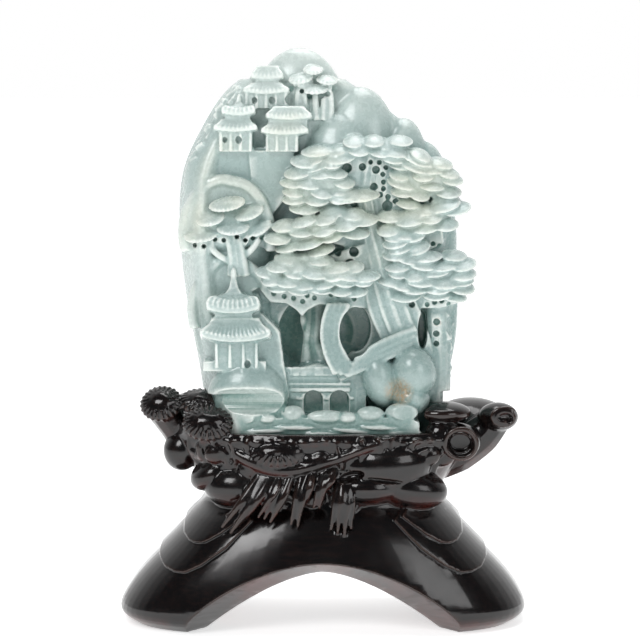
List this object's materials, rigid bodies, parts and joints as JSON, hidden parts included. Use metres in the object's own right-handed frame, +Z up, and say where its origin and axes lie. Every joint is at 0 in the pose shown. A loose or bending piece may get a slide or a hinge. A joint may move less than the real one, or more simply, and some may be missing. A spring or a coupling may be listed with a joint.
{
  "type": "jade landscape carving on a wooden stand",
  "caption": "Pale celadon jade boulder carved as a mountain with pines, pavilions, a bridge and rocks, resting in a dark lacquered carved wooden stand with an arched base.",
  "frame": {"origin": "on the ground under the middle of the stand, midway between its two legs and midway front to back", "axes": "+Z up, +X towards the right leg as seen from the carved front, -Y towards the viewer of the carved front"},
  "size_m": [0.212, 0.0988, 0.297],
  "materials": {
    "jade": "polished",
    "lacquered_wood": "gloss"
  },
  "bodies": {
    "root": {"jade_mountain": "jade", "rosewood_stand": "lacquered_wood"}
  },
  "joints": []
}
